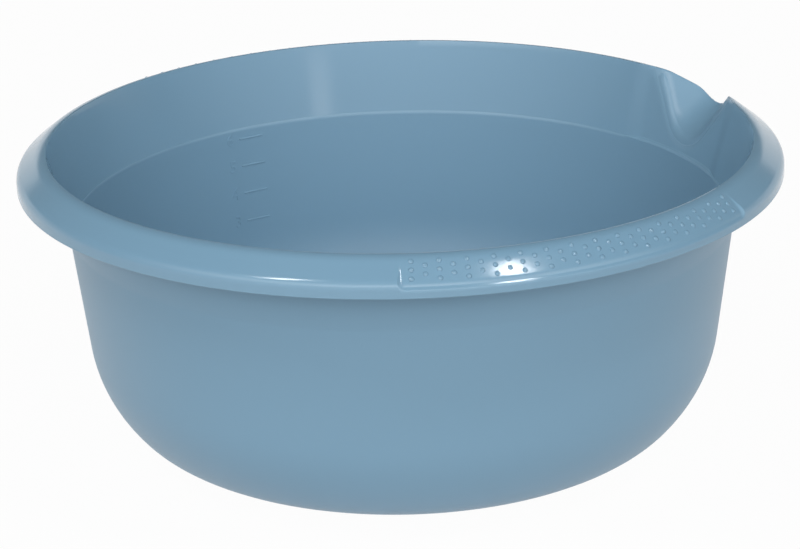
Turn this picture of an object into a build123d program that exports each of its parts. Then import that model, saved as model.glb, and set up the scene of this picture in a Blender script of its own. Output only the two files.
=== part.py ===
"""A round washing up bowl, moulded in one piece.

The bowl stands on a foot ring. Its wall leans out to a polished upper band, and the rim
rolls over into a sloping flange with a short skirt. A pouring spout runs through the wall
and the rim. Two grips with raised dots face each other across the flange, and a litre
scale stands proud of the inner wall.

Millimetres. The origin is at the middle of the foot, +Z is up and the spout points to +X.
"""

import os
from math import asin, atan2, cos, floor, hypot, pi, radians, sin, sqrt, tan

from build123d import *

# Whole bowl
overall_diameter = 350.0
overall_height = 140.0
wall = 2.0

# Body: a wall with a small draft and two blended corner curves
band_depth = 36.0
band_inset = 23.6
band_lean = 9.2
wall_draft_deg = 6.0
upper_corner_radius = 61.5
lower_corner_radius = 27.0
upper_corner_turn_deg = 33.5

# Base: a foot ring round a flat underside with the moulding's gate mark in its middle
foot_height = 3.5
foot_width = 3.0
foot_inset = 4.0
foot_taper = 0.4
gate_radius = 6.0
gate_depth = 0.6

# Rim: a crest, a flange that slopes outwards and a skirt
crest_inset = 13.6
crest_round = 8.0
edge_round = 0.7
flange_slope_deg = 37.4
shoulder_round = 5.1
skirt_drop = 14.2
skirt_draft_deg = 1.0

# Spout: a round-bottomed chute that climbs from the wall to the rim's outer edge
chute_foot_inset = 22.1
chute_foot_depth = 27.2
lip_depth = 10.3
chute_side_slope_deg = 42.6
chute_round = 20.0
chute_blend = 7.0
chute_reach = 40.0

# Grips: a shallow recess in the flange, mirrored across the spout's axis
grip_azimuth_deg = 88.2
grip_half_angle_deg = 28.0
grip_start = 0.4
grip_depth = 0.9
grip_ledge_deg = 18.0
grip_ledge_slope_deg = 45.0

# Grip dots: columns of three and two in turn, with three at both ends
dot_columns = 29
dot_pitch_deg = 1.877
dot_row_inset = 5.9
dot_row_pitch = 2.75
dot_radius = 1.1
dot_height = 0.65
dot_root = 0.4
dot_sides = 8
dot_taper_deg = 20.0

# Litre scale
litre = 1.0e6
mark_count = 4
scale_clearance = 3.0
scale_azimuth_deg = 95.4
mark_length = 13.5
mark_height = 1.0
mark_proud = 0.5
mark_root = 0.8
volume_slices = 500

# One overrun for every cut, and how near counts as touching or as full
overrun = 6.0
touch = 0.01

# Angles in radians, and sizes that follow from the ones above
outer_radius = overall_diameter / 2
crest_radius = outer_radius - crest_inset
band_radius = outer_radius - band_inset
floor_top = foot_height + wall
band_height = overall_height - band_depth
skirt_bottom = overall_height - skirt_drop
draft = radians(wall_draft_deg)
turn = draft + radians(upper_corner_turn_deg)
slope = radians(flange_slope_deg)
skirt_draft = radians(skirt_draft_deg)
side_slope = radians(chute_side_slope_deg)
grip_ledge = radians(grip_ledge_deg)
grip_ledge_slope = radians(grip_ledge_slope_deg)


def along(start, angle, distance):
    """The point at a distance from a start, in a direction given as an angle."""
    return (start[0] + distance * cos(angle), start[1] + distance * sin(angle))


def arc(centre, radius, first, last):
    """An arc about a centre, from one angle to another."""
    middle = (first + last) / 2
    return ThreePointArc(
        along(centre, first, radius),
        along(centre, middle, radius),
        along(centre, last, radius),
    )


def meet(point_a, angle_a, point_b, angle_b):
    """Where two lines cross, each given by a point and an angle."""
    gap_r = point_b[0] - point_a[0]
    gap_z = point_b[1] - point_a[1]
    reach = (gap_r * sin(angle_b) - gap_z * cos(angle_b)) / sin(angle_b - angle_a)
    return along(point_a, angle_a, reach)


# Body section, as radius and height. The wall and both corner curves touch smoothly.
wall_line = pi / 2 - draft
band_line = atan2(band_depth, band_lean)
band_foot = (band_radius, band_height)
corner_step = upper_corner_radius - lower_corner_radius
corner_rise = corner_step * sin(turn) - upper_corner_radius * sin(draft)
wall_start_height = floor_top + lower_corner_radius + corner_rise
wall_start = meet(band_foot, wall_line, (0, wall_start_height), 0)
upper_centre = along(wall_start, pi - draft, upper_corner_radius)
lower_centre = along(upper_centre, -turn, corner_step)
flat_radius = lower_centre[0]
band_outside = along(band_foot, band_line - pi / 2, wall)

# Rim section. The flange touches the crest's curve and the shoulder's curve.
crest_centre = (crest_radius, overall_height - crest_round)
flange_start = along(crest_centre, pi / 2 - slope, crest_round)
skirt_end = (outer_radius, skirt_bottom)
shoulder_centre = meet(
    along(flange_start, -pi / 2 - slope, shoulder_round),
    -slope,
    along(skirt_end, pi + skirt_draft, shoulder_round),
    pi / 2 + skirt_draft,
)
flange_end = along(shoulder_centre, pi / 2 - slope, shoulder_round)

# Grip section. Its floor leaves the flange near the crest and touches a sunk shoulder.
grip_top = along(flange_start, -slope, grip_start)
sunk_round = shoulder_round - grip_depth
grip_reach = hypot(shoulder_centre[0] - grip_top[0], shoulder_centre[1] - grip_top[1])
grip_sight = atan2(shoulder_centre[1] - grip_top[1], shoulder_centre[0] - grip_top[0])
grip_slope = -grip_sight - asin(sunk_round / grip_reach)


def turned(chains, angle=360.0):
    """A solid of revolution from an outline in radius and height, with its seam at the back."""
    edges = [edge for chain in chains for edge in chain.edges()]
    return Rot(Z=180) * revolve(Plane.XZ * make_face(edges), Axis.Z, angle)


def flange_chain():
    """The upper outline of the rim, from the crest out and down to the skirt's edge."""
    return [
        arc(crest_centre, crest_round, pi / 2, pi / 2 - slope),
        Line(flange_start, flange_end),
        arc(shoulder_centre, shoulder_round, pi / 2 - slope, skirt_draft),
        Line(along(shoulder_centre, skirt_draft, shoulder_round), skirt_end),
    ]


def under_chain():
    """The outline below the rim, from the skirt's edge back and down the outer wall."""
    inner_shoulder = shoulder_round - wall
    inner_crest = crest_round - wall
    skirt_inside = (outer_radius - wall / cos(skirt_draft), skirt_bottom)
    # The crest's underside turns until it meets the outside of the band
    apart_r = crest_centre[0] - band_outside[0]
    apart_z = crest_centre[1] - band_outside[1]
    apart = apart_r * sin(band_line) - apart_z * cos(band_line)
    crest_end = band_line + asin(apart / inner_crest)
    wall_outside = along(wall_start, -draft, wall)
    knee = meet(band_outside, band_line, wall_outside, wall_line)
    return [
        Line(skirt_end, skirt_inside),
        Line(skirt_inside, along(shoulder_centre, skirt_draft, inner_shoulder)),
        arc(shoulder_centre, inner_shoulder, skirt_draft, pi / 2 - slope),
        Line(
            along(shoulder_centre, pi / 2 - slope, inner_shoulder),
            along(crest_centre, pi / 2 - slope, inner_crest),
        ),
        arc(crest_centre, inner_crest, pi / 2 - slope, crest_end),
        Line(along(crest_centre, crest_end, inner_crest), knee),
        Line(knee, wall_outside),
    ]


def base_chain():
    """The outer outline from the wall's foot to the axis, closed over the open top."""
    foot_outer = flat_radius - foot_inset
    foot_inner = foot_outer - foot_width
    return [
        arc(upper_centre, upper_corner_radius + wall, -draft, -turn),
        arc(lower_centre, lower_corner_radius + wall, -turn, -pi / 2),
        Polyline(
            (flat_radius, foot_height),
            (foot_outer, foot_height),
            (foot_outer - foot_taper, 0),
            (foot_inner + foot_taper, 0),
            (foot_inner, foot_height),
            (gate_radius, foot_height),
            (gate_radius, foot_height + gate_depth),
            (0, foot_height + gate_depth),
            (0, overall_height),
            (crest_radius, overall_height),
        ),
    ]


def outer_form():
    """The bowl's outer form, still solid inside."""
    return turned(flange_chain() + under_chain() + base_chain())


def rim_zone():
    """All that lies between the inner wall and the rim's outer face."""
    low = band_height - band_depth
    inner_low = meet(band_foot, wall_line, (0, low), 0)
    mouth = (band_radius + band_lean, overall_height)
    top = Line(mouth, (crest_radius, overall_height))
    rest = Polyline(skirt_end, (outer_radius, low), inner_low, band_foot, mouth)
    return turned([top] + flange_chain() + [rest])


def chute(below):
    """The chute's prism, open upwards, at a distance below its floor."""
    run = chute_foot_inset
    rise = chute_foot_depth - lip_depth
    length = hypot(run, rise)
    radius = chute_round + below
    top = chute_foot_depth + overrun
    apex = -below - radius * (1 / cos(side_slope) - 1)
    half_width = (top - apex) / tan(side_slope)
    section = make_face(Polyline((-half_width, top), (0, apex), (half_width, top), close=True))
    section = fillet(section.vertices().sort_by(Axis.Y)[0], radius)
    lip = Plane(
        origin=(outer_radius, 0, overall_height - lip_depth),
        x_dir=(0, 1, 0),
        z_dir=(run / length, 0, rise / length),
    )
    return extrude(lip.offset(overrun) * section, -(overrun + length + chute_reach))


def cavity():
    """The room inside the bowl, with the chute blended into its wall."""
    above = overall_height + overrun
    mouth = meet(band_foot, band_line, (0, above), 0)
    room = turned(
        [
            Line((0, floor_top), (flat_radius, floor_top)),
            arc(lower_centre, lower_corner_radius, -pi / 2, -turn),
            arc(upper_centre, upper_corner_radius, -turn, -draft),
            Line(wall_start, band_foot),
            Polyline(band_foot, mouth, (0, above), (0, floor_top)),
        ]
    )
    groove = chute(0)
    joined = room + groove
    corners = [edge for edge in new_edges(room, groove, combined=joined) if on_wall(edge, 0)]
    return fillet(corners, chute_blend + wall)


def on_wall(edge, outside):
    """Whether an edge lies on the band's cone, at a distance outside its inner face."""
    middle = edge @ 0.5
    start = along(band_foot, band_line - pi / 2, outside)
    cone = meet(start, band_line, (0, middle.Z), 0)
    return abs(hypot(middle.X, middle.Y) - cone[0]) < touch


def shell():
    """The bowl with its spout: the outer form and the chute's skin, hollowed out."""
    form = outer_form()
    skin = chute(wall) & rim_zone()
    joined = form + skin
    corners = [edge for edge in new_edges(form, skin, combined=joined) if on_wall(edge, wall)]
    joined = fillet(corners, chute_blend)
    room = cavity()
    hollow = joined - room
    return fillet(new_edges(joined, room, combined=hollow), edge_round)


def grip_floor_height(radius):
    """Height of the grip's sloping floor at a radius."""
    return grip_top[1] - (radius - grip_top[0]) * tan(grip_slope)


def grip_recess():
    """The tool that sinks one grip into the flange, centred on the spout's axis."""
    ledge_start = along(shoulder_centre, grip_ledge, sunk_round)
    ledge_end = along(ledge_start, -grip_ledge_slope, overrun)
    lifted = along(grip_top, pi / 2 - slope, overrun)
    outline = [
        Line(grip_top, along(shoulder_centre, pi / 2 - grip_slope, sunk_round)),
        arc(shoulder_centre, sunk_round, pi / 2 - grip_slope, grip_ledge),
        Polyline(ledge_start, ledge_end, (ledge_end[0], lifted[1]), lifted, grip_top),
    ]
    return Rot(Z=180 - grip_half_angle_deg) * turned(outline, 2 * grip_half_angle_deg)


def dot():
    """One raised dot, standing on the origin."""
    base = Plane.XY.offset(-dot_root) * RegularPolygon(dot_radius, dot_sides)
    return extrude(base, dot_root + dot_height, taper=dot_taper_deg)


def grip_dots():
    """All the dots of one grip, centred on the spout's axis."""
    dots = []
    for column in range(dot_columns):
        rows = 2 + (column + 1) % 2
        azimuth = (column - (dot_columns - 1) / 2) * dot_pitch_deg
        for row in range(rows):
            radius = outer_radius - dot_row_inset + (row - (rows - 1) / 2) * dot_row_pitch
            place = Pos(radius, 0, grip_floor_height(radius))
            lean = Rot(Y=grip_slope * 180 / pi)
            dots.append(Rot(Z=azimuth) * place * lean * dot())
    return dots


def room_radius(height):
    """Inner radius of the bowl below the band at a height."""
    corner_top = upper_centre[1] - upper_corner_radius * sin(turn)
    if height > wall_start[1]:
        return wall_start[0] + (height - wall_start[1]) * tan(draft)
    if height > corner_top:
        return upper_centre[0] + sqrt(upper_corner_radius**2 - (upper_centre[1] - height) ** 2)
    return lower_centre[0] + sqrt(lower_corner_radius**2 - (lower_centre[1] - height) ** 2)


def filled(height):
    """Volume of water below a height, in slices."""
    slice_height = (height - floor_top) / volume_slices
    middles = [floor_top + (step + 0.5) * slice_height for step in range(volume_slices)]
    return sum(pi * room_radius(middle) ** 2 * slice_height for middle in middles)


def fill_height(volume):
    """Height of the surface of so much water, by halving the range."""
    low, high = floor_top, band_height
    while high - low > touch:
        middle = (low + high) / 2
        if filled(middle) < volume:
            low = middle
        else:
            high = middle
    return low


def scale_marks():
    """Marks at the highest whole litre below the band and at the litres under it."""
    highest = floor(filled(band_height - scale_clearance) / litre)
    depth = mark_root + mark_proud
    marks = []
    for step in range(mark_count):
        height = fill_height((highest - step) * litre)
        middle = room_radius(height) + mark_root - depth / 2
        bar = Pos(middle, 0, height) * Box(depth, mark_length, mark_height)
        marks.append(Rot(Z=scale_azimuth_deg) * bar)
    return marks


def bowl():
    """The whole moulding."""
    body = shell()
    recess = grip_recess()
    dots = grip_dots()
    for side in (1, -1):
        turn_to_side = Rot(Z=side * grip_azimuth_deg)
        body = body - turn_to_side * recess
        body = body + [turn_to_side * each for each in dots]
    return body + scale_marks()


os.makedirs("parts", exist_ok=True)
model = bowl()
export_step(model, "parts/bowl.step")
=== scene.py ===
"""A round washing up bowl in blue-grey plastic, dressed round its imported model.

Laid out as an add-on: property groups hold the sizes and colours, one operator makes each
group of pieces, and a panel lists them. Metres, with the spout towards +X and +Z up.
"""

from math import asin, atan2, cos, hypot, pi, radians, sin, tan

import bpy
import numpy as np
from bpy.props import FloatProperty, FloatVectorProperty, IntProperty, PointerProperty
from mathutils import Matrix, Vector


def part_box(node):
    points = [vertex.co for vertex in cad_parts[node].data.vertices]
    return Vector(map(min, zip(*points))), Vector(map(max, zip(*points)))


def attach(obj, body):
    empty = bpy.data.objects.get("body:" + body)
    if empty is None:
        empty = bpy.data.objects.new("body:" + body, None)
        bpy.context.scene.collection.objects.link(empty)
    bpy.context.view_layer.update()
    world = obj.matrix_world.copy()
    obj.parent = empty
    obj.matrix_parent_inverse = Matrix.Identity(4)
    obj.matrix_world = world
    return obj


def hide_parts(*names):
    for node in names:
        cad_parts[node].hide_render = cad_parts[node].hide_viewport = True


bl_info = {
    "name": "Washing up bowl",
    "version": (1, 0, 0),
    "blender": (4, 5, 0),
    "location": "View3D > Sidebar > Bowl",
    "description": "Builds a round washing up bowl with a pouring spout and dotted grips",
    "category": "Object",
}

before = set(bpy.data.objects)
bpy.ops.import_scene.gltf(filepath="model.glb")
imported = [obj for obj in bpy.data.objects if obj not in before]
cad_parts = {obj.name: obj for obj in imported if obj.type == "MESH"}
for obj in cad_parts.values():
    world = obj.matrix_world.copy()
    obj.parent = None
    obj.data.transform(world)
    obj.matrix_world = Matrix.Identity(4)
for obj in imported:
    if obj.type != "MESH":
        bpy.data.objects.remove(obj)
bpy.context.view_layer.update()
bowl_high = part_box("bowl")[1]


class BowlSizes(bpy.types.PropertyGroup):
    """Sizes of the body, the rim and the spout."""

    radius: FloatProperty(
        name="Outer radius",
        description="From the axis to the outside of the skirt",
        default=bowl_high[0],
        unit="LENGTH",
        precision=4,
    )
    height: FloatProperty(
        name="Height",
        description="From the foot to the crest of the rim",
        default=bowl_high[2],
        unit="LENGTH",
        precision=4,
    )
    wall: FloatProperty(
        name="Wall",
        description="Thickness of the plastic",
        default=0.002,
        unit="LENGTH",
        precision=4,
    )
    band_depth: FloatProperty(
        name="Band depth",
        description="Depth of the polished inner band below the crest",
        default=0.036,
        unit="LENGTH",
        precision=4,
    )
    band_inset: FloatProperty(
        name="Band inset",
        description="How far the band's lower end lies inside the outer radius",
        default=0.0236,
        unit="LENGTH",
        precision=4,
    )
    band_lean: FloatProperty(
        name="Band lean",
        description="How far the band leans out over its depth",
        default=0.0092,
        unit="LENGTH",
        precision=4,
    )
    draft: FloatProperty(
        name="Wall draft",
        description="Lean of the wall below the band",
        default=radians(6.0),
        unit="ROTATION",
    )
    upper_corner: FloatProperty(
        name="Upper corner",
        description="Inner radius of the large curve at the wall's foot",
        default=0.0615,
        unit="LENGTH",
        precision=4,
    )
    lower_corner: FloatProperty(
        name="Lower corner",
        description="Inner radius of the small curve that runs into the floor",
        default=0.027,
        unit="LENGTH",
        precision=4,
    )
    corner_turn: FloatProperty(
        name="Upper corner's turn",
        description="Angle through which the large curve turns",
        default=radians(33.5),
        unit="ROTATION",
    )
    foot_height: FloatProperty(
        name="Foot height",
        description="Height of the foot ring under the flat base",
        default=0.0035,
        unit="LENGTH",
        precision=4,
    )
    crest_inset: FloatProperty(
        name="Crest inset",
        description="How far the rim's highest line lies inside the outer radius",
        default=0.0136,
        unit="LENGTH",
        precision=4,
    )
    crest_round: FloatProperty(
        name="Crest radius",
        description="Radius of the curve over the rim's highest line",
        default=0.008,
        unit="LENGTH",
        precision=4,
    )
    flange_slope: FloatProperty(
        name="Flange slope",
        description="How steeply the flange falls outwards",
        default=radians(37.4),
        unit="ROTATION",
    )
    shoulder_round: FloatProperty(
        name="Shoulder radius",
        description="Radius of the curve from the flange into the skirt",
        default=0.0051,
        unit="LENGTH",
        precision=4,
    )
    skirt_drop: FloatProperty(
        name="Skirt drop",
        description="Depth of the skirt's lower edge below the crest",
        default=0.0142,
        unit="LENGTH",
        precision=4,
    )
    spout_inset: FloatProperty(
        name="Spout inset",
        description="How far the spout's floor starts inside the outer radius",
        default=0.0221,
        unit="LENGTH",
        precision=4,
    )
    spout_depth: FloatProperty(
        name="Spout depth",
        description="Depth of the spout's floor where it leaves the wall",
        default=0.0272,
        unit="LENGTH",
        precision=4,
    )
    lip_depth: FloatProperty(
        name="Lip depth",
        description="Depth of the spout's floor at its lip",
        default=0.0103,
        unit="LENGTH",
        precision=4,
    )
    spout_side: FloatProperty(
        name="Spout side",
        description="Angle between the spout's floor and its sides",
        default=radians(42.6),
        unit="ROTATION",
    )
    spout_round: FloatProperty(
        name="Spout radius",
        description="Radius of the curve across the spout's floor",
        default=0.02,
        unit="LENGTH",
        precision=4,
    )


class GripSizes(bpy.types.PropertyGroup):
    """Sizes of the two dotted grips and of the litre scale."""

    azimuth: FloatProperty(
        name="Grip direction",
        description="Angle from the spout to the middle of a grip",
        default=radians(88.2),
        unit="ROTATION",
    )
    half_angle: FloatProperty(
        name="Half angle",
        description="Half of the angle that a grip takes up on the rim",
        default=radians(28.2),
        unit="ROTATION",
    )
    depth: FloatProperty(
        name="Recess depth",
        description="Depth of the recess at the shoulder",
        default=0.0009,
        unit="LENGTH",
        precision=4,
    )
    dot_radius: FloatProperty(
        name="Dot radius",
        description="Radius of one raised dot",
        default=0.0011,
        unit="LENGTH",
        precision=4,
    )
    dot_height: FloatProperty(
        name="Dot height",
        description="How far one dot stands up",
        default=0.0005,
        unit="LENGTH",
        precision=5,
    )
    dot_columns: IntProperty(
        name="Dot columns",
        description="Columns of dots on one grip, with three and two dots in turn",
        default=29,
    )
    dot_pitch: FloatProperty(
        name="Dot pitch",
        description="Angle between neighbouring columns",
        default=radians(1.877),
        unit="ROTATION",
    )
    dot_row_inset: FloatProperty(
        name="Dot row inset",
        description="How far the middle row lies inside the outer radius",
        default=0.0059,
        unit="LENGTH",
        precision=4,
    )
    dot_row_pitch: FloatProperty(
        name="Dot row pitch",
        description="Distance between rows of dots, from above",
        default=0.00275,
        unit="LENGTH",
        precision=5,
    )
    scale_azimuth: FloatProperty(
        name="Scale direction",
        description="Angle from the spout to the litre scale",
        default=radians(95.4),
        unit="ROTATION",
    )


class BowlFinish(bpy.types.PropertyGroup):
    """Colour and finish of the plastic."""

    colour: FloatVectorProperty(
        name="Plastic",
        description="Colour of the plastic",
        default=(0.194, 0.344, 0.47),
        subtype="COLOR",
        min=0.0,
        max=1.0,
    )
    polished: FloatProperty(
        name="Polished roughness",
        description="Roughness of the rim and the inner band",
        default=0.15,
        min=0.0,
        max=1.0,
    )
    satin: FloatProperty(
        name="Satin roughness",
        description="Roughness of the body",
        default=0.42,
        min=0.0,
        max=1.0,
    )


def along(start, angle, distance):
    """The point at a distance from a start, in a direction given as an angle."""
    return (start[0] + distance * cos(angle), start[1] + distance * sin(angle))


def meet(point_a, angle_a, point_b, angle_b):
    """Where two lines cross, each given by a point and an angle."""
    gap_r = point_b[0] - point_a[0]
    gap_z = point_b[1] - point_a[1]
    reach = (gap_r * sin(angle_b) - gap_z * cos(angle_b)) / sin(angle_b - angle_a)
    return along(point_a, angle_a, reach)


def smooth_max(field_a, field_b, reach):
    """The larger of two distance fields, rounded where both are near nought."""
    lift_a = np.maximum(field_a + reach, 0.0)
    lift_b = np.maximum(field_b + reach, 0.0)
    return np.hypot(lift_a, lift_b) - reach


def smooth_min(field_a, field_b, reach):
    """The smaller of two distance fields, rounded where both are near nought."""
    return -smooth_max(-field_a, -field_b, reach)


def reach_out(r, z, centre, first, last):
    """How far points lie out from a centre, over a range of directions."""
    out_r = r - centre[0]
    out_z = z - centre[1]
    angle = np.arctan2(out_z, out_r)
    first_side = out_r * cos(first) + out_z * sin(first)
    last_side = out_r * cos(last) + out_z * sin(last)
    inside = (angle > first) & (angle < last)
    return np.where(inside, np.hypot(out_r, out_z), np.maximum(first_side, last_side))


class RimForm:
    """The rim's form as distance fields, which are above nought in the open air."""

    edge_reach = 0.0008
    spout_edge_reach = 0.0024
    spout_wall_reach = 0.006
    skin_reach = 0.002
    grip_corner = 0.0025
    grip_fillet = 0.00015
    grip_crown = 0.00007
    skin = 0.0018
    skirt_draft = radians(1.0)
    crest_lead = radians(100.0)
    ledge_angle = radians(18.0)
    ledge_slope = radians(45.0)
    grip_start = 0.0004
    grip_end_across = 0.9
    grip_end_down = 0.44
    spout_edge_end = radians(16.0)
    spout_edge_fade = radians(5.0)

    def __init__(self, sizes, grips):
        self.sizes = sizes
        self.grips = grips
        self.flange_out = pi / 2 - sizes.flange_slope
        self.band_foot = (sizes.radius - sizes.band_inset, sizes.height - sizes.band_depth)
        self.band_line = atan2(sizes.band_depth, sizes.band_lean)
        self.band_outside = along(self.band_foot, self.band_line - pi / 2, sizes.wall)
        self.crest = (sizes.radius - sizes.crest_inset, sizes.height - sizes.crest_round)
        self.skirt_end = (sizes.radius, sizes.height - sizes.skirt_drop)
        flange_start = along(self.crest, self.flange_out, sizes.crest_round)
        self.shoulder = meet(
            along(flange_start, self.flange_out + pi, sizes.shoulder_round),
            -sizes.flange_slope,
            along(self.skirt_end, pi + self.skirt_draft, sizes.shoulder_round),
            pi / 2 + self.skirt_draft,
        )
        # The grip's floor leaves the flange near the crest and touches a sunk shoulder
        self.grip_top = along(flange_start, -sizes.flange_slope, self.grip_start)
        self.sunk_round = sizes.shoulder_round - grips.depth
        run = self.shoulder[0] - self.grip_top[0]
        rise = self.shoulder[1] - self.grip_top[1]
        self.grip_slope = -atan2(rise, run) - asin(self.sunk_round / hypot(run, rise))
        self.grip_foot = along(self.shoulder, pi / 2 - self.grip_slope, self.sunk_round)
        self.ledge_start = along(self.shoulder, self.ledge_angle, self.sunk_round)
        # The body below the band: a wall and two corner curves, inside and outside
        self.floor_top = sizes.foot_height + sizes.wall
        self.turn = sizes.draft + sizes.corner_turn
        wall_line = pi / 2 - sizes.draft
        corner_step = sizes.upper_corner - sizes.lower_corner
        corner_rise = corner_step * sin(self.turn) - sizes.upper_corner * sin(sizes.draft)
        wall_foot = self.floor_top + sizes.lower_corner + corner_rise
        self.wall_start = meet(self.band_foot, wall_line, (0, wall_foot), 0)
        self.upper_centre = along(self.wall_start, pi - sizes.draft, sizes.upper_corner)
        self.lower_centre = along(self.upper_centre, -self.turn, corner_step)
        self.wall_outside = along(self.wall_start, -sizes.draft, sizes.wall)
        self.knee = meet(self.band_outside, self.band_line, self.wall_outside, wall_line)

    def trough(self, r, z, azimuth):
        """How far points lie above the spout's floor and sides."""
        sizes = self.sizes
        x = r * np.cos(azimuth)
        y = np.abs(r * np.sin(azimuth))
        climb = atan2(sizes.spout_depth - sizes.lip_depth, sizes.spout_inset)
        from_foot = x - sizes.radius + sizes.spout_inset
        rise = z - sizes.height + sizes.spout_depth
        below = sizes.spout_round - (rise * cos(climb) - from_foot * sin(climb))
        on_curve = np.arctan2(y, below) < sizes.spout_side
        on_side = y * sin(sizes.spout_side) + below * cos(sizes.spout_side)
        above = sizes.spout_round - np.where(on_curve, np.hypot(y, below), on_side)
        return np.where(x > sizes.radius / 2, above, -sizes.radius)

    def room(self, r, z):
        """How far points lie inside the inner band."""
        out_r = r - self.band_foot[0]
        out_z = z - self.band_foot[1]
        return out_z * cos(self.band_line) - out_r * sin(self.band_line)

    def outside(self, r, z, depth):
        """How far points lie outside the rim's upper face, sunk by a depth."""
        sizes = self.sizes
        over_crest = reach_out(r, z, self.crest, self.flange_out, self.crest_lead)
        over_shoulder = reach_out(r, z, self.shoulder, self.skirt_draft, self.flange_out)
        crest_face = over_crest - sizes.crest_round + depth
        return np.maximum(crest_face, over_shoulder - sizes.shoulder_round + depth)

    def crown(self, r):
        """How far the grip's floor swells between the crest and the shoulder."""
        share = (r - self.grip_top[0]) / (self.grip_foot[0] - self.grip_top[0])
        share = np.clip(share, 0.0, 1.0)
        return 4 * self.grip_crown * share * (1 - share)

    def grip(self, r, z, azimuth, outside):
        """How far points lie inside the recess of a grip."""
        floor_out = pi / 2 - self.grip_slope
        floor = reach_out(r, z, self.shoulder, self.ledge_angle, floor_out) - self.sunk_round
        floor = floor - self.crown(r)
        lift_r = r - self.ledge_start[0]
        lift_z = z - self.ledge_start[1]
        ledge = lift_r * sin(self.ledge_slope) + lift_z * cos(self.ledge_slope)
        away = np.abs(np.abs(azimuth) - self.grips.azimuth)
        ends = self.grip_end_across * (self.grips.half_angle - away) * r
        ends = ends + self.grip_end_down * outside
        sides = smooth_min(ledge, ends, self.grip_corner)
        return smooth_min(floor, sides, self.grip_fillet)

    def inner_air(self, r, z, azimuth):
        """The air over the band and the spout."""
        return smooth_max(self.room(r, z), self.trough(r, z, azimuth), self.spout_wall_reach)

    def outer_air(self, r, z, azimuth):
        """The air over the crest, the flange, the grips and the skirt."""
        plain = self.outside(r, z, 0.0)
        return smooth_max(plain, self.grip(r, z, azimuth, plain), self.grip_fillet)

    def upper_air(self, r, z, azimuth):
        """All the air over the rim, with its edge rounded."""
        nearness = (self.spout_edge_end - np.abs(azimuth)) / self.spout_edge_fade
        nearness = np.clip(nearness, 0.0, 1.0)
        ease = nearness * nearness * (3 - 2 * nearness)
        reach = self.edge_reach + (self.spout_edge_reach - self.edge_reach) * ease
        return smooth_max(self.inner_air(r, z, azimuth), self.outer_air(r, z, azimuth), reach)

    def lower_air(self, r, z, azimuth):
        """The air under the rim, between the wall, the spout's skin and the skirt."""
        out_r = r - self.band_outside[0]
        out_z = z - self.band_outside[1]
        wall = out_r * sin(self.band_line) - out_z * cos(self.band_line)
        under = -self.outside(r, z, self.sizes.wall)
        air = smooth_min(wall, under, self.edge_reach)
        skin = -self.trough(r, z, azimuth) - self.skin
        return smooth_min(air, skin, self.skin_reach)

    def lower_solid(self, r, z, azimuth):
        """The solid that the air under the rim meets."""
        return -self.lower_air(r, z, azimuth)


# Settings of the rays that find the rim's surface, and how many rings each side gets
RAY_START = 0.002
RAY_END = 0.06
RAY_HALVINGS = 30
UPPER_CENTRE = (0.0016, -0.02)
UPPER_TRIALS = 420
UPPER_STEPS = 80
UPPER_SKIRT_GAP = 0.0006
KINK_RING = radians(0.6)
EDGE_FOCUS = (9, radians(2.2))
LEDGE_FOCUS = (6, radians(2.4))
LOWER_CENTRE = (0.0056, -0.024)
LOWER_TRIALS = 200
LOWER_STEPS = 24
LOWER_SKIRT_GAP = 0.0004


def ray_points(centre, angles, reach):
    """Radius and height of points on rays from a centre, at a reach along each."""
    return centre[0] + reach * np.cos(angles), centre[1] + reach * np.sin(angles)


def cast(field, centre, angles, azimuth):
    """How far rays from a centre in a section run before they leave the solid."""
    near = np.full(angles.shape, RAY_START)
    far = np.full(angles.shape, RAY_END)
    for _ in range(RAY_HALVINGS):
        middle = (near + far) / 2
        r, z = ray_points(centre, angles, middle)
        open_air = field(r, z, azimuth) > 0
        far = np.where(open_air, middle, far)
        near = np.where(open_air, near, middle)
    return near


def focus(angles, middle, strength_and_width):
    """Extra weight for rays that pass near one direction."""
    strength, width = strength_and_width
    return strength * np.exp(-(((angles - middle) / width) ** 2))


def spread_rays(weights, angles, count):
    """Angles of so many rays, closer together where the weights are higher."""
    steps = (weights[:, 1:] + weights[:, :-1]) / 2
    total = np.concatenate([np.zeros((len(weights), 1)), np.cumsum(steps, axis=1)], axis=1)
    total /= total[:, -1:]
    wanted = np.linspace(0.0, 1.0, count)
    return np.array([np.interp(wanted, row, angles) for row in total])


def upper_fan(form, azimuths, count):
    """Radius and height of the rim's upper side, for each azimuth and step."""
    centre = (form.crest[0] + UPPER_CENTRE[0], form.crest[1] + UPPER_CENTRE[1])
    skirt_top = form.skirt_end[1] + UPPER_SKIRT_GAP
    first = atan2(form.band_foot[1] - centre[1], form.band_foot[0] - centre[0])
    first = first + 2 * pi if first < 0 else first
    last = atan2(skirt_top - centre[1], form.skirt_end[0] - centre[0])
    trial = np.linspace(first, last, UPPER_TRIALS)
    grid, azimuth = np.meshgrid(trial, azimuths)
    reach = cast(form.upper_air, centre, grid, azimuth)
    r, z = ray_points(centre, grid, reach)
    # The rim's edge is where the air inside meets the air outside
    lead = form.inner_air(r, z, azimuth) - form.outer_air(r, z, azimuth)
    after = np.argmin(lead > 0, axis=1)
    rows = np.arange(len(azimuths))
    before_lead = lead[rows, after - 1]
    share = before_lead / (before_lead - lead[rows, after])
    edge = (trial[after - 1] + share * (trial[after] - trial[after - 1]))[:, None]
    ledge = atan2(form.ledge_start[1] - centre[1], form.ledge_start[0] - centre[0])
    weights = reach / reach.mean()
    weights = weights + focus(grid, edge, EDGE_FOCUS)
    weights = weights + focus(grid, ledge, LEDGE_FOCUS)
    angles = spread_rays(weights, trial, count - 1)
    angles = np.insert(angles, 1, first - KINK_RING, axis=1)
    azimuth = np.repeat(azimuths[:, None], count, axis=1)
    reach = cast(form.upper_air, centre, angles, azimuth)
    return ray_points(centre, angles, reach)


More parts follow.
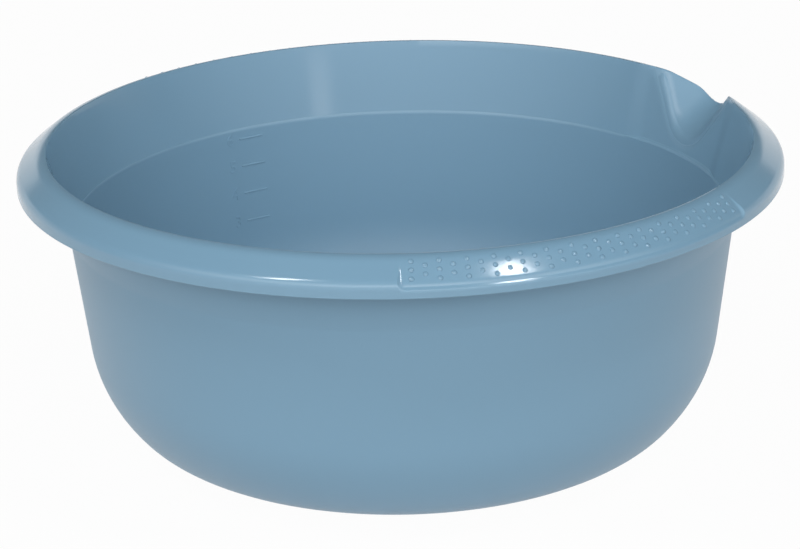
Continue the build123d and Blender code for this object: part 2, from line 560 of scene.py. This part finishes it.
def lower_fan(form, azimuths, count):
    """Radius and height of the rim's underside, for each azimuth and step."""
    centre = (form.crest[0] + LOWER_CENTRE[0], form.crest[1] + LOWER_CENTRE[1])
    inside = (form.skirt_end[0] - form.sizes.wall, form.skirt_end[1] + LOWER_SKIRT_GAP)
    first = atan2(inside[1] - centre[1], inside[0] - centre[0])
    last = atan2(form.knee[1] - centre[1], form.knee[0] - centre[0])
    last = last + 2 * pi if last < 0 else last
    trial = np.linspace(first, last, LOWER_TRIALS)
    grid, azimuth = np.meshgrid(trial, azimuths)
    reach = cast(form.lower_solid, centre, grid, azimuth)
    angles = spread_rays(reach, trial, count)
    azimuth = np.repeat(azimuths[:, None], count, axis=1)
    reach = cast(form.lower_solid, centre, angles, azimuth)
    return ray_points(centre, angles, reach)


# Which part of the section a point belongs to
FIXED, UPPER, LOWER = 0, 1, 2


def arc_points(centre, radius, first, last, count):
    """Points along an arc, without its first one."""
    return [along(centre, first + (last - first) * k / count, radius) for k in range(1, count + 1)]


def line_points(start, end, count):
    """Points along a line, without its first one."""
    return [
        (start[0] + (end[0] - start[0]) * k / count, start[1] + (end[1] - start[1]) * k / count)
        for k in range(1, count + 1)
    ]


# Small sizes of the section: kink under the band, skirt's edge, foot ring and gate mark
KINK_NEAR = 0.00015
KINK_FAR = 0.0015
KNEE_NEAR = 0.0004
ARC_STEPS = 10
WALL_STEPS = 5
SKIRT_OUTER_ROUND = 0.0005
SKIRT_INNER_ROUND = 0.0003
SKIRT_ROUND_START = radians(20.0)
FOOT_INSET = 0.004
FOOT_WIDTH = 0.003
FOOT_ROUND = 0.0005
FOOT_ROUND_INSET = 0.0008
FOOT_SIDE_LEAN = radians(7.0)
FOOT_SIDE_SHIFT = 0.0001
FOOT_FILLET = 0.0006
FOOT_FILLET_MIDDLE = 0.00015
GATE_RADIUS = 0.006
GATE_EDGE = 0.0002
GATE_DEPTH = 0.0006


def inside_points(form):
    """The inner section from the middle of the floor up to just below the band."""
    sizes = form.sizes
    flat = form.lower_centre[0]
    points = [(0.0, form.floor_top)]
    points += [(flat * share, form.floor_top) for share in (0.06, 0.2, 0.4, 0.6, 0.8, 0.93, 1.0)]
    points += arc_points(form.lower_centre, sizes.lower_corner, -pi / 2, -form.turn, ARC_STEPS)
    points += arc_points(form.upper_centre, sizes.upper_corner, -form.turn, -sizes.draft, ARC_STEPS)
    down = -pi / 2 - sizes.draft
    points += line_points(form.wall_start, along(form.band_foot, down, KINK_FAR), WALL_STEPS)
    points.append(along(form.band_foot, down, KINK_NEAR))
    return points


def skirt_points(form):
    """The skirt's lower edge with its corners rounded, from the outside inwards."""
    end_r, end_z = form.skirt_end
    outer = (end_r - SKIRT_OUTER_ROUND, end_z + SKIRT_OUTER_ROUND)
    inner = (end_r - form.sizes.wall + SKIRT_INNER_ROUND, end_z + SKIRT_INNER_ROUND)
    points = arc_points(outer, SKIRT_OUTER_ROUND, SKIRT_ROUND_START, -pi / 2, 4)
    points.append(along(inner, -pi / 2, SKIRT_INNER_ROUND))
    points += arc_points(inner, SKIRT_INNER_ROUND, -pi / 2, -pi, 3)
    return points


def foot_fillet(side, outward, top):
    """The fillet between the flat base and one side of the foot ring, from the base down."""
    return [
        (side + outward * FOOT_FILLET, top),
        (side + outward * FOOT_FILLET_MIDDLE, top - FOOT_FILLET_MIDDLE),
        (side - outward * FOOT_SIDE_SHIFT, top - FOOT_FILLET),
    ]


def outside_points(form):
    """The outer section from the knee below the rim down to the middle of the base."""
    sizes = form.sizes
    flat = form.lower_centre[0]
    top = sizes.foot_height
    outer = flat - FOOT_INSET
    inner = outer - FOOT_WIDTH
    upper_round = sizes.upper_corner + sizes.wall
    lower_round = sizes.lower_corner + sizes.wall
    points = [along(form.knee, -pi / 2 - sizes.draft, KNEE_NEAR)]
    points += line_points(points[0], form.wall_outside, WALL_STEPS)
    points += arc_points(form.upper_centre, upper_round, -sizes.draft, -form.turn, ARC_STEPS)
    points += arc_points(form.lower_centre, lower_round, -form.turn, -pi / 2, ARC_STEPS)
    points += foot_fillet(outer, 1, top)
    outer_round = (outer - FOOT_ROUND_INSET, FOOT_ROUND)
    inner_round = (inner + FOOT_ROUND_INSET, FOOT_ROUND)
    points += arc_points(outer_round, FOOT_ROUND, FOOT_SIDE_LEAN, -pi / 2, 4)
    points.append((inner_round[0], 0.0))
    points += arc_points(inner_round, FOOT_ROUND, -pi / 2, -pi - FOOT_SIDE_LEAN, 4)
    points += reversed(foot_fillet(inner, -1, top))
    points += [(flat * share, top) for share in (0.6, 0.25)]
    points += [(GATE_RADIUS + GATE_EDGE, top), (GATE_RADIUS, top + GATE_EDGE)]
    points += [(GATE_RADIUS * share, top + GATE_DEPTH) for share in (1.0, 0.5, 0.0)]
    return points


def deselect():
    """Clears the selection and leaves edit mode."""
    if bpy.context.object and bpy.context.object.mode != "OBJECT":
        bpy.ops.object.mode_set(mode="OBJECT")
    bpy.ops.object.select_all(action="DESELECT")


def choose(obj):
    """Makes one object the only selected and active one."""
    deselect()
    obj.select_set(True)
    bpy.context.view_layer.objects.active = obj


def draw_section(form):
    """The bowl's section as a wire, with each rim point marked by its fan and step."""
    back = np.array([pi])
    upper_r, upper_z = upper_fan(form, back, UPPER_STEPS)
    lower_r, lower_z = lower_fan(form, back, LOWER_STEPS)
    marks = [(point, FIXED, 0) for point in inside_points(form)]
    marks += [((upper_r[0, k], upper_z[0, k]), UPPER, k) for k in range(UPPER_STEPS)]
    marks += [(point, FIXED, 0) for point in skirt_points(form)]
    marks += [((lower_r[0, k], lower_z[0, k]), LOWER, k) for k in range(LOWER_STEPS)]
    marks += [(point, FIXED, 0) for point in outside_points(form)]
    mesh = bpy.data.meshes.new("bowl_shell")
    points = [(-point[0], 0.0, point[1]) for point, _, _ in marks]
    mesh.from_pydata(points, [(k, k + 1) for k in range(len(points) - 1)], [])
    mesh.attributes.new("fan", "INT", "POINT").data.foreach_set("value", [m[1] for m in marks])
    mesh.attributes.new("step", "INT", "POINT").data.foreach_set("value", [m[2] for m in marks])
    shell = bpy.data.objects.new("bowl_shell", mesh)
    bpy.context.collection.objects.link(shell)
    return shell


# Degrees from a grip's end at which the stations of the spin change their spacing
GRIP_END_OUTSIDE = 0.1
GRIP_END_INSIDE = 0.32
GRIP_END_FADE = 1.6
SPOUT_STRETCH = 163.0
HALF_TURN = 180.0


def turns_of_spin(form):
    """Stretches of the turn from the back to the spout, as angles in degrees and steps."""
    grips = form.grips
    far_end = HALF_TURN - np.degrees(grips.azimuth + grips.half_angle)
    near_end = HALF_TURN - np.degrees(grips.azimuth - grips.half_angle)
    stops = [
        (far_end - GRIP_END_OUTSIDE, 50),
        (far_end + GRIP_END_INSIDE, 14),
        (far_end + GRIP_END_FADE, 6),
        (near_end - GRIP_END_FADE, 44),
        (near_end - GRIP_END_INSIDE, 6),
        (near_end + GRIP_END_OUTSIDE, 14),
        (SPOUT_STRETCH, 34),
        (HALF_TURN, 57),
    ]
    angles = np.diff([0.0] + [stop[0] for stop in stops])
    half = [(angle, stop[1]) for angle, stop in zip(angles, stops)]
    return half + half[::-1]


# Merging of the spin's seam, telling its stations apart, and how wide the spout's satin fades
SEAM_MERGE = 0.000004
SEAM_ANGLE = 0.0001
STATION_DIGITS = 5
SPOUT_FADE = 0.008


def spin_section(form, shell):
    """Spins the section all the way round, finer at the grips' ends and the spout."""
    choose(shell)
    bpy.ops.object.mode_set(mode="EDIT")
    bpy.ops.mesh.select_all(action="SELECT")
    for angle, steps in turns_of_spin(form):
        turn = radians(angle)
        bpy.ops.mesh.spin(steps=steps, angle=turn, center=(0, 0, 0), axis=(0, 0, 1), use_auto_merge=False)
    bpy.ops.mesh.select_all(action="SELECT")
    bpy.ops.mesh.remove_doubles(threshold=SEAM_MERGE)
    bpy.ops.mesh.normals_make_consistent(inside=False)
    bpy.ops.object.mode_set(mode="OBJECT")


def settle_rim(form, shell):
    """Moves the rim's points onto its blended form with the spout and the grips."""
    mesh = shell.data
    count = len(mesh.vertices)
    points = np.empty(count * 3)
    fan = np.empty(count, dtype=np.int32)
    step = np.empty(count, dtype=np.int32)
    mesh.vertices.foreach_get("co", points)
    mesh.attributes["fan"].data.foreach_get("value", fan)
    mesh.attributes["step"].data.foreach_get("value", step)
    points = points.reshape(-1, 3)
    azimuth = np.arctan2(points[:, 1], points[:, 0])
    azimuth = np.where(azimuth < -pi + SEAM_ANGLE, azimuth + 2 * pi, azimuth)
    rim = fan != FIXED
    stations, place = np.unique(np.round(azimuth[rim], STATION_DIGITS), return_inverse=True)
    upper_r, upper_z = upper_fan(form, stations, UPPER_STEPS)
    lower_r, lower_z = lower_fan(form, stations, LOWER_STEPS)
    on_top = fan[rim] == UPPER
    rank = step[rim]
    upper_rank = np.minimum(rank, UPPER_STEPS - 1)
    lower_rank = np.minimum(rank, LOWER_STEPS - 1)
    r = np.where(on_top, upper_r[place, upper_rank], lower_r[place, lower_rank])
    z = np.where(on_top, upper_z[place, upper_rank], lower_z[place, lower_rank])
    points[rim] = np.stack([r * np.cos(stations[place]), r * np.sin(stations[place]), z], axis=1)
    mesh.vertices.foreach_set("co", points.ravel())
    # The rim and the band are polished, and the spout is satin as the body is
    beside_spout = -form.trough(np.hypot(points[:, 0], points[:, 1]), points[:, 2], azimuth)
    shine = np.clip(beside_spout / SPOUT_FADE, 0.0, 1.0) * (fan == UPPER)
    polish = mesh.attributes.new("polish", "FLOAT", "POINT")
    polish.data.foreach_set("value", shine)
    mesh.attributes.remove(mesh.attributes["fan"])
    mesh.attributes.remove(mesh.attributes["step"])
    mesh.update()


def smooth(obj, angle):
    """Shades an object smooth, with edges sharper than an angle in degrees kept."""
    choose(obj)
    bpy.ops.object.shade_smooth_by_angle(angle=radians(angle))


def polish_all(obj):
    """Marks the whole of a piece as polished."""
    mark = obj.data.attributes.new("polish", "FLOAT", "POINT")
    mark.data.foreach_set("value", [1.0] * len(obj.data.vertices))


def join(pieces, name):
    """Joins pieces into one object at the origin."""
    deselect()
    for piece in pieces:
        piece.select_set(True)
    bpy.context.view_layer.objects.active = pieces[0]
    bpy.ops.object.join()
    bpy.ops.object.transform_apply(location=True, rotation=True, scale=True)
    whole = bpy.context.object
    whole.name = name
    whole.data.name = name
    return whole


def dress(obj, material):
    """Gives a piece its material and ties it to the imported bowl."""
    obj.data.materials.clear()
    obj.data.materials.append(material)
    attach(obj, "root")
    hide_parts("bowl")


def rim_form():
    """The rim's form from the current sizes."""
    scene = bpy.context.scene
    return RimForm(scene.bowl_sizes, scene.grip_sizes)


def surface_group():
    """The moulded surface: roughness and a faint grain, by how polished it is."""
    name = "moulded_surface"
    if name in bpy.data.node_groups:
        return bpy.data.node_groups[name]
    group = bpy.data.node_groups.new(name, "ShaderNodeTree")
    face = group.interface
    face.new_socket("Polish", in_out="INPUT", socket_type="NodeSocketFloat")
    face.new_socket("Polished roughness", in_out="INPUT", socket_type="NodeSocketFloat")
    face.new_socket("Satin roughness", in_out="INPUT", socket_type="NodeSocketFloat")
    face.new_socket("Roughness", in_out="OUTPUT", socket_type="NodeSocketFloat")
    face.new_socket("Normal", in_out="OUTPUT", socket_type="NodeSocketVector")
    nodes = group.nodes
    links = group.links
    given = nodes.new("NodeGroupInput")
    result = nodes.new("NodeGroupOutput")
    mix = nodes.new("ShaderNodeMix")
    mix.data_type = "FLOAT"
    links.new(given.outputs["Polish"], mix.inputs["Factor"])
    links.new(given.outputs["Satin roughness"], mix.inputs["A"])
    links.new(given.outputs["Polished roughness"], mix.inputs["B"])
    links.new(mix.outputs["Result"], result.inputs["Roughness"])
    place = nodes.new("ShaderNodeTexCoord")
    swell = nodes.new("ShaderNodeTexNoise")
    swell.inputs["Scale"].default_value = 28.0
    swell.inputs["Detail"].default_value = 1.0
    links.new(place.outputs["Object"], swell.inputs["Vector"])
    bump = nodes.new("ShaderNodeBump")
    bump.inputs["Strength"].default_value = 0.25
    bump.inputs["Distance"].default_value = 0.0004
    links.new(swell.outputs["Fac"], bump.inputs["Height"])
    links.new(bump.outputs["Normal"], result.inputs["Normal"])
    return group


def plastic():
    """The blue-grey plastic of the whole bowl."""
    name = "blue_grey_plastic"
    if name in bpy.data.materials:
        return bpy.data.materials[name]
    finish = bpy.context.scene.bowl_finish
    material = bpy.data.materials.new(name)
    material.use_nodes = True
    nodes = material.node_tree.nodes
    links = material.node_tree.links
    shader = nodes["Principled BSDF"]
    shader.inputs["Base Color"].default_value = (*finish.colour, 1.0)
    shader.inputs["IOR"].default_value = 1.49
    mark = nodes.new("ShaderNodeAttribute")
    mark.attribute_name = "polish"
    surface = nodes.new("ShaderNodeGroup")
    surface.node_tree = surface_group()
    surface.inputs["Polished roughness"].default_value = finish.polished
    surface.inputs["Satin roughness"].default_value = finish.satin
    links.new(mark.outputs["Fac"], surface.inputs["Polish"])
    links.new(surface.outputs["Roughness"], shader.inputs["Roughness"])
    links.new(surface.outputs["Normal"], shader.inputs["Normal"])
    return material


class BOWL_OT_shell(bpy.types.Operator):
    """Spins the bowl's section and blends the spout and the grips into the rim"""

    bl_idname = "bowl.add_shell"
    bl_label = "Bowl shell"

    def execute(self, context):
        form = rim_form()
        shell = draw_section(form)
        spin_section(form, shell)
        settle_rim(form, shell)
        smooth(shell, angle=40.0)
        dress(shell, plastic())
        return {"FINISHED"}


# How far a dot reaches below the recess's floor
DOT_ROOT = 0.0002


def make_dot(grips):
    """One low round dot on the origin, with its foot a little below it."""
    deselect()
    bpy.ops.mesh.primitive_uv_sphere_add(segments=16, ring_count=10, radius=1.0)
    dot = bpy.context.object
    dot.scale = (grips.dot_radius, grips.dot_radius, grips.dot_height)
    bpy.ops.object.transform_apply(location=True, rotation=True, scale=True)
    bpy.ops.object.mode_set(mode="EDIT")
    bpy.ops.mesh.select_all(action="SELECT")
    bpy.ops.mesh.bisect(
        plane_co=(0, 0, -DOT_ROOT), plane_no=(0, 0, 1), clear_inner=True, use_fill=True
    )
    bpy.ops.object.mode_set(mode="OBJECT")
    return dot


def dot_places(form):
    """Where each dot stands: its turn about the axis and its place and lean on the rim."""
    grips = form.grips
    places = []
    for side in (1, -1):
        for column in range(grips.dot_columns):
            rows = 2 + (column + 1) % 2
            along_grip = (column - (grips.dot_columns - 1) / 2) * grips.dot_pitch
            for row in range(rows):
                shift = (row - (rows - 1) / 2) * grips.dot_row_pitch
                radius = form.sizes.radius - grips.dot_row_inset + shift
                height = form.grip_top[1] - (radius - form.grip_top[0]) * tan(form.grip_slope)
                height += form.crown(radius) / cos(form.grip_slope)
                turn = Matrix.Rotation(side * grips.azimuth + along_grip, 4, "Z")
                stand = Matrix.Translation((radius, 0.0, height))
                lean = Matrix.Rotation(form.grip_slope, 4, "Y")
                places.append(turn @ stand @ lean)
    return places


class BOWL_OT_dots(bpy.types.Operator):
    """Sets the raised dots on both grips"""

    bl_idname = "bowl.add_dots"
    bl_label = "Grip dots"

    def execute(self, context):
        form = rim_form()
        first = make_dot(form.grips)
        dots = []
        for place in dot_places(form):
            dot = first.copy()
            dot.data = first.data.copy()
            dot.matrix_world = place
            context.collection.objects.link(dot)
            dots.append(dot)
        bpy.data.objects.remove(first)
        whole = join(dots, "grip_dots")
        polish_all(whole)
        smooth(whole, angle=50.0)
        dress(whole, plastic())
        return {"FINISHED"}


# The litre scale: which litres are marked, and sizes of the marks and their numerals
MARKED_LITRES = (3, 4, 5, 6)
CUBIC_METRES_PER_LITRE = 0.001
SLICE_HEIGHT = 0.0002
MARK_LENGTH = 0.0135
MARK_BREADTH = 0.001
MARK_PROUD = 0.00025
NUMERAL_SIZE = 0.009
NUMERAL_PROUD = 0.0002
NUMERAL_SHIFT = 0.012
NUMERAL_RADIUS = 0.149
SCALE_ROOT = 0.0006
BEVEL_SHARE = 0.3


def fill_heights(form):
    """Heights up to which the bowl holds each of the marked litres."""
    heights = []
    height = form.floor_top
    volume = 0.0
    for litres in MARKED_LITRES:
        while volume < litres * CUBIC_METRES_PER_LITRE:
            volume += pi * wall_radius(form, height + SLICE_HEIGHT / 2) ** 2 * SLICE_HEIGHT
            height += SLICE_HEIGHT
        heights.append(height)
    return heights


def wall_radius(form, height):
    """Inner radius of the body at a height below the band."""
    corner_top = form.upper_centre[1] - form.sizes.upper_corner * sin(form.turn)
    if height > form.wall_start[1]:
        return form.wall_start[0] + (height - form.wall_start[1]) * tan(form.sizes.draft)
    centre, radius = form.lower_centre, form.sizes.lower_corner
    if height > corner_top:
        centre, radius = form.upper_centre, form.sizes.upper_corner
    return centre[0] + (radius**2 - (centre[1] - height) ** 2) ** 0.5


def wrap_on_wall(form, obj, azimuth, height):
    """Bends a flat piece onto the inner wall: x along it, y up it and z into the room."""
    for vertex in obj.data.vertices:
        across, up, proud = vertex.co
        level = height + up
        reach = wall_radius(form, level) - proud
        angle = azimuth - across / reach
        vertex.co = (reach * cos(angle), reach * sin(angle), level)
    obj.data.update()


def make_bar(length, breadth, proud, root):
    """A flat bar with softened edges, standing proud of the origin's plane and sunk by a root."""
    deselect()
    bpy.ops.mesh.primitive_cube_add(size=1.0)
    bar = bpy.context.object
    bar.scale = (length, breadth, proud + root)
    bar.location = (0.0, 0.0, (proud - root) / 2)
    bpy.ops.object.transform_apply(location=True, rotation=True, scale=True)
    bpy.ops.object.mode_set(mode="EDIT")
    bpy.ops.mesh.select_all(action="SELECT")
    bpy.ops.mesh.bevel(offset=breadth * BEVEL_SHARE, segments=3, affect="EDGES")
    bpy.ops.mesh.select_all(action="SELECT")
    bpy.ops.mesh.subdivide(number_cuts=3)
    bpy.ops.object.mode_set(mode="OBJECT")
    return bar


def make_numeral(number, size, proud, root):
    """A raised numeral as a mesh, proud of the origin's plane and sunk by a root."""
    deselect()
    bpy.ops.object.text_add()
    text = bpy.context.object
    text.data.body = str(number)
    text.data.size = size
    text.data.align_x = "CENTER"
    text.data.align_y = "CENTER"
    text.data.extrude = (proud + root) / 2
    text.data.bevel_depth = proud * BEVEL_SHARE
    text.data.resolution_u = 6
    bpy.ops.object.convert(target="MESH")
    numeral = bpy.context.object
    numeral.location = (0.0, 0.0, (proud - root) / 2)
    bpy.ops.object.transform_apply(location=True, rotation=True, scale=True)
    return numeral


class BOWL_OT_scale(bpy.types.Operator):
    """Raises the litre marks and their numerals on the inner wall"""

    bl_idname = "bowl.add_scale"
    bl_label = "Litre scale"

    def execute(self, context):
        form = rim_form()
        azimuth = form.grips.scale_azimuth
        pieces = []
        beside = azimuth + NUMERAL_SHIFT / NUMERAL_RADIUS
        for litres, height in zip(MARKED_LITRES, fill_heights(form)):
            bar = make_bar(MARK_LENGTH, MARK_BREADTH, MARK_PROUD, SCALE_ROOT)
            wrap_on_wall(form, bar, azimuth, height)
            numeral = make_numeral(litres, NUMERAL_SIZE, NUMERAL_PROUD, SCALE_ROOT)
            wrap_on_wall(form, numeral, beside, height)
            pieces += [bar, numeral]
        whole = join(pieces, "litre_scale")
        smooth(whole, angle=40.0)
        dress(whole, plastic())
        return {"FINISHED"}


# The camera, with angles in degrees and its lens in millimetres
CAMERA_AZIMUTH = -115.5
CAMERA_ELEVATION = 20.96
CAMERA_DISTANCE = 1.0208
CAMERA_TARGET = (-0.001198, 0.000571, 0.06933)
CAMERA_ROLL = -1.455
CAMERA_LENS = 97.43
SENSOR_WIDTH = 36.0

# Each lamp: degrees from the camera's azimuth, elevation, distance, size and power in watts
LAMP_TARGET = (0.0, 0.0, 0.08)
LAMPS = {
    "left_softbox": (-46.0, 56.0, 1.5, (0.13, 0.36), 4.4),
    "right_softbox": (45.0, 59.0, 1.5, (0.13, 0.17), 3.2),
    "low_softbox": (29.0, 12.5, 2.0, (0.24, 0.2), 0.35),
}

# The floor: its width, its shade and roughness, and how white the camera sees it
FLOOR_WIDTH = 12.0
PAPER_SHADE = 0.62
PAPER_ROUGHNESS = 0.9
PAPER_GLOW = 0.97

# The room's light, where the front's levels go by the sine of the elevation
ROOM_LEVEL = 4.0
ROOM_FRONT = (
    (0.0, 0.4),
    (0.12, 0.22),
    (0.24, 0.22),
    (0.36, 0.75),
    (0.5, 1.0),
    (0.62, 0.6),
    (0.75, 0.1),
)
ROOM_SIDES = 0.18
ROOM_BACK = 0.04
SCREEN_TOP = 0.24
SCREEN_FADE = 0.05


def outward(azimuth, elevation):
    """The direction out from the bowl at an azimuth and an elevation in degrees."""
    turn = radians(azimuth)
    rise = radians(elevation)
    return Vector((cos(turn) * cos(rise), sin(turn) * cos(rise), sin(rise)))


def aim(obj, target):
    """Turns a lamp towards a point."""
    obj.rotation_euler = (Vector(target) - obj.location).to_track_quat("-Z", "Y").to_euler()


def softbox(name, azimuth, elevation, distance, size, power):
    """A soft lamp at an azimuth and an elevation in degrees, facing the bowl."""
    lamp = bpy.data.lights.new(name, "AREA")
    lamp.shape = "RECTANGLE"
    lamp.size, lamp.size_y = size
    lamp.energy = power
    obj = bpy.data.objects.new(name, lamp)
    bpy.context.collection.objects.link(obj)
    obj.location = Vector(LAMP_TARGET) + outward(azimuth, elevation) * distance
    aim(obj, LAMP_TARGET)
    return obj


def add_camera():
    """The camera at the viewing angle, level apart from a slight roll."""
    lens = bpy.data.cameras.new("camera")
    lens.lens = CAMERA_LENS
    lens.sensor_width = SENSOR_WIDTH
    camera = bpy.data.objects.new("camera", lens)
    bpy.context.collection.objects.link(camera)
    turn = radians(CAMERA_AZIMUTH)
    roll = radians(CAMERA_ROLL)
    out = outward(CAMERA_AZIMUTH, CAMERA_ELEVATION)
    level = Vector((-sin(turn), cos(turn), 0.0))
    lift = out.cross(level)
    right = level * cos(roll) + lift * sin(roll)
    up = lift * cos(roll) - level * sin(roll)
    turned = Matrix((right, up, out)).transposed().to_4x4()
    turned.translation = Vector(CAMERA_TARGET) + out * CAMERA_DISTANCE
    camera.matrix_world = turned
    bpy.context.scene.camera = camera


def calculate(tree, operation, first, second):
    """The output of a maths node between two values or sockets."""
    node = tree.nodes.new("ShaderNodeMath")
    node.operation = operation
    for place, value in enumerate((first, second)):
        if isinstance(value, float):
            node.inputs[place].default_value = value
        else:
            tree.links.new(value, node.inputs[place])
    return node.outputs["Value"]


def toward(tree, place, direction):
    """How far the world's direction points along another one."""
    node = tree.nodes.new("ShaderNodeVectorMath")
    node.operation = "DOT_PRODUCT"
    tree.links.new(place.outputs["Generated"], node.inputs[0])
    node.inputs[1].default_value = direction
    return node.outputs["Value"]


def floor_paper():
    """Paper that looks white to the camera and in reflections, with a faint shadow."""
    material = bpy.data.materials.new("white_paper")
    material.use_nodes = True
    tree = material.node_tree
    paper = tree.nodes["Principled BSDF"]
    paper.inputs["Base Color"].default_value = (PAPER_SHADE, PAPER_SHADE, PAPER_SHADE, 1.0)
    paper.inputs["Roughness"].default_value = PAPER_ROUGHNESS
    glow = tree.nodes.new("ShaderNodeEmission")
    ray = tree.nodes.new("ShaderNodeLightPath")
    seen = calculate(tree, "MULTIPLY", ray.outputs["Is Camera Ray"], PAPER_GLOW)
    white = calculate(tree, "MAXIMUM", seen, ray.outputs["Is Glossy Ray"])
    mix = tree.nodes.new("ShaderNodeMixShader")
    tree.links.new(white, mix.inputs["Fac"])
    tree.links.new(paper.outputs["BSDF"], mix.inputs[1])
    tree.links.new(glow.outputs["Emission"], mix.inputs[2])
    tree.links.new(mix.outputs["Shader"], tree.nodes["Material Output"].inputs["Surface"])
    return material


def set_world():
    """A pale room: light in front of the bowl and low around it, and a low screen behind."""
    world = bpy.data.worlds.new("pale_room")
    bpy.context.scene.world = world
    world.use_nodes = True
    tree = world.node_tree
    place = tree.nodes.new("ShaderNodeTexCoord")
    split = tree.nodes.new("ShaderNodeSeparateXYZ")
    tree.links.new(place.outputs["Generated"], split.inputs["Vector"])
    height = calculate(tree, "MAXIMUM", split.outputs["Z"], 0.0)
    turn = radians(CAMERA_AZIMUTH)
    front = toward(tree, place, (cos(turn), sin(turn), 0.0))
    side = toward(tree, place, (-sin(turn), cos(turn), 0.0))
    ramp = tree.nodes.new("ShaderNodeValToRGB")
    ramp.color_ramp.elements.remove(ramp.color_ramp.elements[1])
    for at, level in ROOM_FRONT:
        stop = ramp.color_ramp.elements.new(at) if at else ramp.color_ramp.elements[0]
        stop.color = (level, level, level, 1.0)
    tree.links.new(height, ramp.inputs["Fac"])
    ahead = calculate(tree, "MAXIMUM", front, 0.0)
    strength = calculate(tree, "MULTIPLY", ramp.outputs["Color"], ROOM_LEVEL)
    ahead = calculate(tree, "MULTIPLY", ahead, strength)
    around = calculate(tree, "MULTIPLY", calculate(tree, "ABSOLUTE", side, 0.0), ROOM_SIDES)
    around = calculate(tree, "ADD", around, ROOM_BACK)
    around = calculate(tree, "MULTIPLY", around, calculate(tree, "SUBTRACT", 1.0, height))
    screen = tree.nodes.new("ShaderNodeMapRange")
    screen.inputs["From Min"].default_value = SCREEN_TOP
    screen.inputs["From Max"].default_value = SCREEN_TOP - SCREEN_FADE
    tree.links.new(height, screen.inputs["Value"])
    behind = calculate(tree, "MAXIMUM", calculate(tree, "MULTIPLY", front, -1.0), 0.0)
    behind = calculate(tree, "MULTIPLY", behind, screen.outputs["Result"])
    light = calculate(tree, "ADD", ahead, calculate(tree, "ADD", around, behind))
    seen = tree.nodes.new("ShaderNodeLightPath").outputs["Is Camera Ray"]
    background = tree.nodes["Background"]
    background.inputs["Color"].default_value = (1.0, 1.0, 1.0, 1.0)
    tree.links.new(calculate(tree, "MAXIMUM", seen, light), background.inputs["Strength"])


class BOWL_OT_stage(bpy.types.Operator):
    """Sets the floor, the lamps, the room and the camera"""

    bl_idname = "bowl.add_stage"
    bl_label = "Stage"

    def execute(self, context):
        deselect()
        bpy.ops.mesh.primitive_plane_add(size=FLOOR_WIDTH, location=(0.0, 0.0, 0.0))
        floor = context.object
        floor.name = "floor"
        floor.data.materials.append(floor_paper())
        set_world()
        for name, (beside, elevation, distance, size, power) in LAMPS.items():
            softbox(name, CAMERA_AZIMUTH + beside, elevation, distance, size, power)
        add_camera()
        context.scene.view_settings.view_transform = "Standard"
        return {"FINISHED"}


class BOWL_PT_pieces(bpy.types.Panel):
    """Lists the bowl's sizes, colours and steps"""

    bl_label = "Washing up bowl"
    bl_idname = "BOWL_PT_pieces"
    bl_space_type = "VIEW_3D"
    bl_region_type = "UI"
    bl_category = "Bowl"

    def draw(self, context):
        layout = self.layout
        scene = context.scene
        for group in (scene.bowl_sizes, scene.grip_sizes, scene.bowl_finish):
            box = layout.box()
            for name in group.__annotations__:
                box.prop(group, name)
        for step in STEPS:
            layout.operator(step.bl_idname)


STEPS = (BOWL_OT_shell, BOWL_OT_dots, BOWL_OT_scale, BOWL_OT_stage)
CLASSES = (BowlSizes, GripSizes, BowlFinish, *STEPS, BOWL_PT_pieces)


def register():
    """Adds the classes and the scene's settings."""
    for each in CLASSES:
        bpy.utils.register_class(each)
    bpy.types.Scene.bowl_sizes = PointerProperty(type=BowlSizes)
    bpy.types.Scene.grip_sizes = PointerProperty(type=GripSizes)
    bpy.types.Scene.bowl_finish = PointerProperty(type=BowlFinish)


def unregister():
    """Removes the settings and the classes."""
    del bpy.types.Scene.bowl_finish
    del bpy.types.Scene.grip_sizes
    del bpy.types.Scene.bowl_sizes
    for each in reversed(CLASSES):
        bpy.utils.unregister_class(each)


def main():
    """Builds every piece in turn."""
    register()
    bpy.ops.bowl.add_shell()
    bpy.ops.bowl.add_dots()
    bpy.ops.bowl.add_scale()
    bpy.ops.bowl.add_stage()


if __name__ == "__main__":
    main()
